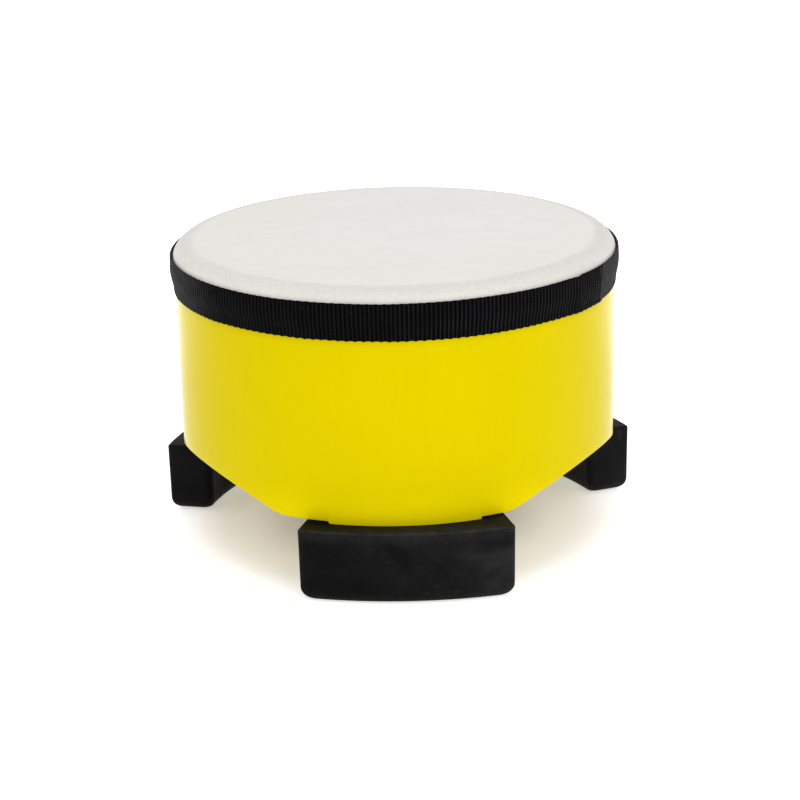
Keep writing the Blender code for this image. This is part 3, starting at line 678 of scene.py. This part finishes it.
def webbing_piece(material):
    start = math.radians(BAND_END)
    doubled = math.radians(BAND_END - BAND_UNDER)
    radius = BAND_OVER_R + BAND_THICK
    length = (2 * math.pi + doubled) * radius
    ribs = int(round(length / RIB))
    columns = ribs * SAMPLES + 1
    yarns = int(round((BAND_TOP - BAND_BOTTOM) / YARN))
    inside = np.linspace(0, 1, 2 * yarns + 1)
    u = np.linspace(0, length, columns)
    phase = u / RIB
    # uneven beating-up of the weave: the ribs wander a little
    wander = 0.10 * smooth_noise(u / 0.011 + 3, np.zeros_like(u), 11)
    crest = 0.5 - 0.5 * np.cos(2 * math.pi * (phase + wander))
    lift = BAND_THICK + GAP
    over = np.clip((u / radius - doubled) / math.radians(5.0), 0, 1)
    over = 1 - over * over * (3 - 2 * over)
    end = np.clip(u / 0.0025, 0, 1)  # the outer end is cut hot, so its edge is fused flat
    end = end * end * (3 - 2 * end)
    tail = np.clip((length - u) / 0.002, 0, 1)
    # the selvedges run in shallow waves of two ribs
    scallop = 0.5 - 0.5 * np.cos(math.pi * (phase + wander))
    wave_low = 0.00042 * (1 - scallop) ** 2 + 0.00012 * smooth_noise(u / 0.013 + 7, np.zeros_like(u), 12)
    wave_top = 0.00016 * scallop + 0.00015 * smooth_noise(u / 0.019 + 2, np.zeros_like(u), 13)
    U, T = np.meshgrid(u, inside, indexing="ij")
    base_r, base_z = band_profile(T)
    rib = crest[:, None]
    dash = 0.5 + 0.5 * np.cos(2 * math.pi * T * yarns + math.pi * np.floor(phase + wander)[:, None])
    edge = np.clip(np.minimum(T, 1 - T) / 0.06, 0, 1)
    edge = np.sqrt(edge * (2 - edge))
    height = 0.00030 * rib**0.9 + 0.00012 * rib * dash
    uneven = 1 + 0.25 * smooth_noise(U / 0.004 + 50, T * 6, 14)
    height = height * uneven * (0.35 + 0.65 * edge) * (0.25 + 0.75 * end[:, None])
    thick = BAND_THICK - 0.0002 + height - 0.00045 * (1 - edge)
    thick = thick * (0.55 + 0.45 * end[:, None]) * (0.5 + 0.5 * tail[:, None])
    loose = 0.00008 * smooth_noise(U / 0.030 + 20, T * 1.5, 15)
    up = lift * over[:, None] + np.maximum(loose, -0.00005)
    # the outer end is cut at a slant
    slant = math.radians(1.1) * (1 - 2 * T) * np.clip(1 - U / 0.02, 0, 1)
    az = start - U / radius + slant - math.radians(0.5) * np.clip(1 - U / 0.02, 0, 1)
    shift = wave_top[:, None] * T - wave_low[:, None] * (1 - T)
    z = base_z + shift
    outer = polar(base_r + thick + up, az, z)
    backs = np.linspace(1, 0, 5)
    Ub, Tb = np.meshgrid(u, backs, indexing="ij")
    back_r, back_z = band_profile(Tb)
    slant_b = math.radians(1.1) * (1 - 2 * Tb) * np.clip(1 - Ub / 0.02, 0, 1)
    az_b = start - Ub / radius + slant_b - math.radians(0.5) * np.clip(1 - Ub / 0.02, 0, 1)
    shift_b = wave_top[:, None] * Tb - wave_low[:, None] * (1 - Tb)
    inner = polar(back_r + up[:, :1] + 0.00004, az_b, back_z + shift_b)
    points = np.concatenate([outer, inner], 1)
    m = points.shape[1]
    # the unrolled length counts the ribs, so that the weave's colour stays on their crests
    woven = np.broadcast_to(((phase + wander) * RIB)[:, None], U.shape)
    uv_outer = np.stack([woven, (base_z - BAND_BOTTOM)], -1)
    uv_inner = np.stack([Ub, (back_z - BAND_BOTTOM)], -1)
    uvs = np.concatenate([uv_outer, uv_inner], 1)
    faces = [f[::-1] for f in grid_faces(columns, m, wrap_v=True)]
    faces.append(list(range(m)))
    faces.append(list(range((columns - 1) * m, columns * m))[::-1])
    mesh = mesh_from("webbing_finish", points.reshape(-1, 3), faces, uvs.reshape(-1, 2), None, 80)
    mesh.materials.append(material)
    obj = new_object("webbing_finish", mesh, ["webbing_band"])
    return obj


# ---------------------------------------------------------------- feet
def line_on_circle(point, direction, radius):
    b = point.dot(direction)
    c = point.dot(point) - radius * radius
    return point + direction * (-b + math.sqrt(b * b - c))


def rounded(points, at, reach, steps):
    n = len(points)
    before, here, after = (Vector(points[(at + k) % n]) for k in (-1, 0, 1))
    one = here + (before - here).normalized() * reach
    two = here + (after - here).normalized() * reach
    return [
        tuple((1 - k / steps) ** 2 * one + 2 * (k / steps) * (1 - k / steps) * here + (k / steps) ** 2 * two)
        for k in range(steps + 1)
    ]


def foot_outline(inset, end_inset):
    outer, inner = FOOT_OUTER_R - inset, FOOT_INNER_R + inset
    a = Vector((FOOT_HALF_INNER, math.sqrt(FOOT_INNER_R**2 - FOOT_HALF_INNER**2)))
    b = Vector((FOOT_HALF_OUTER, math.sqrt(FOOT_OUTER_R**2 - FOOT_HALF_OUTER**2)))
    along = (b - a).normalized()
    out = Vector((along.y, -along.x))
    start = a - out * end_inset
    top, low = line_on_circle(start, along, outer), line_on_circle(start, along, inner)
    top_deg = math.degrees(math.atan2(top.x, top.y))
    low_deg = math.degrees(math.atan2(low.x, low.y))
    # the arcs' own points stop short of the corners, whose curves are drawn separately
    shape = []
    corners = {}
    points = []
    sides = ((outer, 90.0 - top_deg, 90.0 + top_deg, CORNER), (inner, 90.0 + low_deg, 90.0 - low_deg, CORNER_IN))
    for radius, first, last, reach in sides:
        trim = math.degrees(reach / radius) * (1 if last > first else -1)
        angles = [first, *np.linspace(first + trim * 1.02, last - trim * 1.02, 44), last]
        for k, angle in enumerate(angles):
            if k in (0, len(angles) - 1):
                corners[len(points)] = reach * 0.98
            t = math.radians(angle)
            points.append((radius * math.cos(t), radius * math.sin(t)))
    for k, p in enumerate(points):
        shape += rounded(points, k, corners[k], 8) if k in corners else [p]
    return shape


def foot_mesh():
    rings = []
    for k in range(11):
        t = math.radians(9.0 * k)
        share = 1 - math.sin(t)
        rings.append((SOLE_SIDE * share, SOLE_END * share, SOLE_ROUND * (1 - math.cos(t))))
    for z in (0.012, 0.019, 0.026, 0.033):
        rings.append((0.0, 0.0, z))
    for k in range(6):
        t = math.radians(18.0 * k)
        inset = TOP_ROUND * (1 - math.cos(t))
        rings.append((inset, inset, FOOT_HEIGHT - TOP_ROUND * (1 - math.sin(t))))
    bm = bmesh.new()
    loops = []
    for inset, end_inset, z in rings:
        draft = DRAFT * (1 - z / FOOT_HEIGHT)
        outline = foot_outline(inset + draft, end_inset + draft)
        loops.append([bm.verts.new((x, y, z)) for x, y in outline])
    n = len(loops[0])
    for low, high in zip(loops, loops[1:]):
        for k in range(n):
            bm.faces.new((low[k], low[(k + 1) % n], high[(k + 1) % n], high[k]))
    bm.faces.new(loops[0])
    bm.faces.new(loops[-1])
    bmesh.ops.recalc_face_normals(bm, faces=bm.faces)
    mesh = bpy.data.meshes.new("foot_blank")
    bm.to_mesh(mesh)
    bm.free()
    return mesh


def slot_mesh():
    inner, outer = SHELL_R - SHELL_WALL - GAP, SHELL_R + GAP
    steps = 40
    bm = bmesh.new()
    rings = []
    for k in range(steps + 1):
        t = math.radians(90.0 - SLOT_HALF + 2 * SLOT_HALF * k / steps)
        rings.append(
            [
                bm.verts.new((r * math.cos(t), r * math.sin(t), z))
                for r, z in ((inner, SLOT_FLOOR), (outer, SLOT_FLOOR), (outer, FOOT_HEIGHT + 0.01), (inner, FOOT_HEIGHT + 0.01))
            ]
        )
    for one, two in zip(rings, rings[1:]):
        for k in range(4):
            bm.faces.new((one[k], one[(k + 1) % 4], two[(k + 1) % 4], two[k]))
    bm.faces.new(rings[0])
    bm.faces.new(rings[-1])
    bmesh.ops.recalc_face_normals(bm, faces=bm.faces)
    mesh = bpy.data.meshes.new("slot_cutter")
    bm.to_mesh(mesh)
    bm.free()
    return mesh


def hole_mesh():
    bm = bmesh.new()
    for turn in (-SCREW_DEG, SCREW_DEG):
        made = bmesh.ops.create_cone(bm, cap_ends=True, segments=32, radius1=HOLE_R, radius2=HOLE_R, depth=0.0215)["verts"]
        bmesh.ops.rotate(bm, verts=made, cent=(0, 0, 0), matrix=Matrix.Rotation(math.radians(-90.0), 3, "X"))
        bmesh.ops.translate(bm, verts=made, vec=(0.0, 0.18475, SCREW_Z))
        bmesh.ops.rotate(bm, verts=made, cent=(0, 0, 0), matrix=Matrix.Rotation(math.radians(turn), 3, "Z"))
    bmesh.ops.recalc_face_normals(bm, faces=bm.faces)
    mesh = bpy.data.meshes.new("hole_cutter")
    bm.to_mesh(mesh)
    bm.free()
    return mesh


def cut_mesh(blank, cutters):
    """A mesh after boolean cuts, as a new mesh; the helpers are removed again."""
    scene = bpy.context.scene.collection
    source = bpy.data.objects.new("blank", blank)
    scene.objects.link(source)
    helpers = []
    for k, cutter in enumerate(cutters):
        obj = bpy.data.objects.new(f"cutter_{k}", cutter)
        scene.objects.link(obj)
        helpers.append(obj)
        modifier = source.modifiers.new(f"cut_{k}", "BOOLEAN")
        modifier.operation = "DIFFERENCE"
        modifier.solver = "EXACT"
        modifier.object = obj
    bpy.context.view_layer.update()
    graph = bpy.context.evaluated_depsgraph_get()
    made = bpy.data.meshes.new_from_object(source.evaluated_get(graph))
    for obj in (source, *helpers):
        bpy.data.objects.remove(obj)
    return made


def foot_pieces(material):
    centre = Matrix.Translation((0.0, -FOOT_OUTER_R, 0.0))
    for name, azimuth in FEET.items():
        # from the block's own frame, with its curves' centre at the origin, to one where +Y points at the foot from the drum's axis
        stand = Matrix.Translation((0.0, FOOT_REACH[name], 0.0)) @ Matrix.Rotation(math.radians(FOOT_TURN[name]), 4, "Z") @ centre
        blank, holes = foot_mesh(), hole_mesh()
        # how near each point lies to the top's outer arris or to an upright corner
        spots = np.zeros(len(blank.vertices) * 3)
        blank.vertices.foreach_get("co", spots)
        spots = spots.reshape(-1, 3)
        reach = np.hypot(spots[:, 0], spots[:, 1])
        top = np.exp(-(((spots[:, 2] - FOOT_HEIGHT) / 0.0009) ** 2) - ((reach - FOOT_OUTER_R) / 0.0010) ** 2)
        ends = [(half, math.sqrt(r * r - half * half)) for half, r in ((FOOT_HALF_OUTER, FOOT_OUTER_R),)]
        away = np.min([np.hypot(abs(spots[:, 0]) - x, spots[:, 1] - y) for x, y in ends], axis=0)
        upright = 0.45 * np.exp(-((away / 0.0016) ** 2))
        # the rubber paints a highlight where this mark is high
        blank.attributes.new("arris", "FLOAT", "POINT").data.foreach_set("value", np.maximum(top, upright).astype(np.float32))
        blank.transform(stand)
        holes.transform(stand)
        mesh = cut_mesh(blank, [slot_mesh(), holes])
        mesh.name = name + "_finish"
        mesh.transform(Matrix.Translation((0.0, AXIS_Y, 0.0)) @ Matrix.Rotation(math.radians(azimuth - 90.0), 4, "Z"))
        mesh.materials.clear()
        mesh.materials.append(material)
        mesh.shade_smooth()
        mesh.set_sharp_from_angle(angle=math.radians(35))
        new_object(name + "_finish", mesh, [name])


# ---------------------------------------------------------------- floor, light and camera
def stage():
    mesh = bpy.data.meshes.new("floor")
    size = 14.0
    mesh.from_pydata([(-size, -size, 0), (size, -size, 0), (size, size, 0), (-size, size, 0)], [], [(0, 1, 2, 3)])
    floor = bpy.data.objects.new("floor", mesh)
    bpy.context.scene.collection.objects.link(floor)
    mat = bpy.data.materials.new("floor_white")
    mat.use_nodes = True
    tree = mat.node_tree
    paper = tree.nodes["Principled BSDF"]
    paper.inputs["Base Color"].default_value = (0.86, 0.86, 0.86, 1)
    paper.inputs["Roughness"].default_value = 0.36
    paper.inputs["IOR"].default_value = 1.45
    # painted light: the sweep glows brighter away from the drum, beside and behind it
    coords = tree.nodes.new("ShaderNodeTexCoord")
    parts = tree.nodes.new("ShaderNodeSeparateXYZ")
    tree.links.new(coords.outputs["Object"], parts.inputs[0])
    length = tree.nodes.new("ShaderNodeVectorMath")
    length.operation = "LENGTH"
    tree.links.new(coords.outputs["Object"], length.inputs[0])

    def ramp(value, low, high, to_low, to_high):
        made = tree.nodes.new("ShaderNodeMapRange")
        made.interpolation_type = "SMOOTHSTEP"
        tree.links.new(value, made.inputs["Value"])
        for key, number in (("From Min", low), ("From Max", high), ("To Min", to_low), ("To Max", to_high)):
            made.inputs[key].default_value = number
        return made.outputs["Result"]

    far = ramp(length.outputs["Value"], 0.25, 0.60, 0.0, 1.0)
    behind = ramp(parts.outputs["Y"], 0.0, 0.35, 0.10, 1.0)
    both = tree.nodes.new("ShaderNodeMath")
    both.operation = "MULTIPLY"
    tree.links.new(far, both.inputs[0])
    tree.links.new(behind, both.inputs[1])
    # painted shadow: hardly any of the glow reaches below the shell
    below = tree.nodes.new("ShaderNodeMath")
    below.operation = "MULTIPLY"
    tree.links.new(ramp(both.outputs[0], 0.0, 1.0, 0.66, 1.20), below.inputs[0])
    tree.links.new(ramp(length.outputs["Value"], 0.040, 0.098, 0.25, 1.0), below.inputs[1])
    tree.links.new(below.outputs[0], paper.inputs["Emission Strength"])
    # painted bounce light: near the drum the floor's glow is tinted yellow, as light reflected from the shell
    tint = tree.nodes.new("ShaderNodeMix")
    tint.data_type = "RGBA"
    tree.links.new(ramp(length.outputs["Value"], 0.100, 0.148, 0.0, 1.0), tint.inputs[0])
    tint.inputs[6].default_value = (0.60, 0.560, 0.42, 1)
    tint.inputs[7].default_value = (1, 1, 1, 1)
    tree.links.new(tint.outputs[2], paper.inputs["Emission Color"])
    mesh.materials.append(mat)

    world = bpy.data.worlds.new("studio")
    world.use_nodes = True
    world.node_tree.nodes["Background"].inputs["Color"].default_value = (1, 1, 1, 1)
    world.node_tree.nodes["Background"].inputs["Strength"].default_value = 0.84
    bpy.context.scene.world = world

    def area(name, place, aim, size, power, colour=(1, 1, 1)):
        data = bpy.data.lights.new(name, "AREA")
        data.shape = "DISK"
        data.size = size
        data.energy = power
        data.color = colour
        lamp = bpy.data.objects.new(name, data)
        bpy.context.scene.collection.objects.link(lamp)
        lamp.location = place
        lamp.rotation_euler = (Vector(aim) - Vector(place)).to_track_quat("-Z", "Y").to_euler()

    area("key", (0.60, -1.35, 1.00), (0, 0, 0.06), 1.2, 6.0)
    area("top", (-0.15, -0.15, 1.7), (0, 0, 0.0), 1.3, 3.0)


def camera():
    """The fitted camera: a long lens, a little above the drum, looking down by 18 degrees."""
    turn = -0.0188
    pitch, roll = 0.3160, -0.0236
    across, distance, height = 0.00137, 1.29922, 0.49690
    forward = Vector((0, math.cos(pitch), -math.sin(pitch)))
    right = Vector((1, 0, 0))
    up = right.cross(forward)
    r = math.cos(roll) * right + math.sin(roll) * up
    u = -math.sin(roll) * right + math.cos(roll) * up
    spin = Matrix.Rotation(turn, 3, "Z")
    place = spin @ Vector((across, -distance, 0.0)) + Vector((0.0, AXIS_Y, height))
    r, u, forward = spin @ r, spin @ u, spin @ forward
    data = bpy.data.cameras.new("camera")
    data.sensor_width = 36.0
    data.lens = 103.84
    data.clip_start, data.clip_end = 0.05, 60.0
    obj = bpy.data.objects.new("camera", data)
    bpy.context.scene.collection.objects.link(obj)
    obj.matrix_world = Matrix(
        (
            (r.x, u.x, -forward.x, place.x),
            (r.y, u.y, -forward.y, place.y),
            (r.z, u.z, -forward.z, place.z),
            (0, 0, 0, 1),
        )
    )
    bpy.context.scene.camera = obj


# ---------------------------------------------------------------- assembly
camera()
stage()
view = bpy.context.scene.view_settings
view.view_transform = "Standard"
view.look = "None"

PALE, TAN = (0.62, 0.47, 0.30), (0.42, 0.27, 0.14)
shell_piece([lacquer(), plywood("ply_edge", PALE, TAN, True), plywood("ply_inside", PALE, (0.50, 0.35, 0.20), False)])
hoop_piece(plywood("hoop_wood", (0.58, 0.42, 0.25), (0.44, 0.29, 0.16), False))
head_piece(hide_material())
webbing_piece(webbing_material())
foot_pieces(rubber_material())

wire = metal_material("staple_wire", (0.62, 0.62, 0.63), 0.32, 0.48)
zinc = metal_material("zinc_plate", (0.66, 0.66, 0.67), 0.24, 0.40)
for name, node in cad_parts.items():
    if name.startswith("staple"):
        chosen, slot = wire, "staple_wire"
    elif name.startswith(("screw", "washer")):
        chosen, slot = zinc, "fastener_steel"
    else:
        continue
    node.data.materials.clear()
    node.data.materials.append(chosen)
